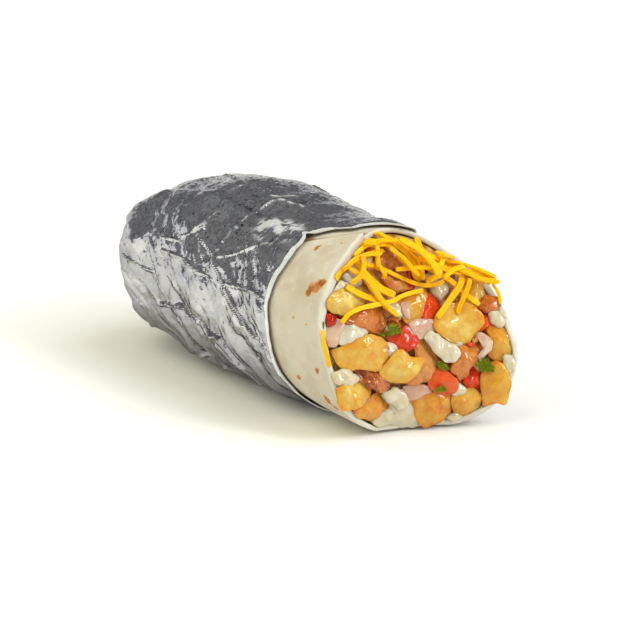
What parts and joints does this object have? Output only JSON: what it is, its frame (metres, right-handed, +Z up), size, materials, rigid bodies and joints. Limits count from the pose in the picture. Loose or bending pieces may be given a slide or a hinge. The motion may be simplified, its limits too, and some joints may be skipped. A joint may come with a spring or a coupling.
{
  "type": "burrito",
  "caption": "Open-ended burrito: a cream tortilla rolled round potato, chicken, tomato and cheese, its back half in crinkled foil.",
  "frame": {"origin": "centre of the bounding box's bottom face, on the surface the roll lies on", "axes": "+X along the roll towards its open mouth, +Y towards the far side, +Z up"},
  "size_m": [0.1764, 0.081, 0.0741],
  "materials": {
    "foil": "crinkled, semi-bright",
    "tortilla": "matte with toasted spots",
    "filling": "moist, mixed pieces"
  },
  "bodies": {
    "root": {"foil": "foil", "tortilla": "tortilla", "filling": "filling"}
  },
  "joints": []
}
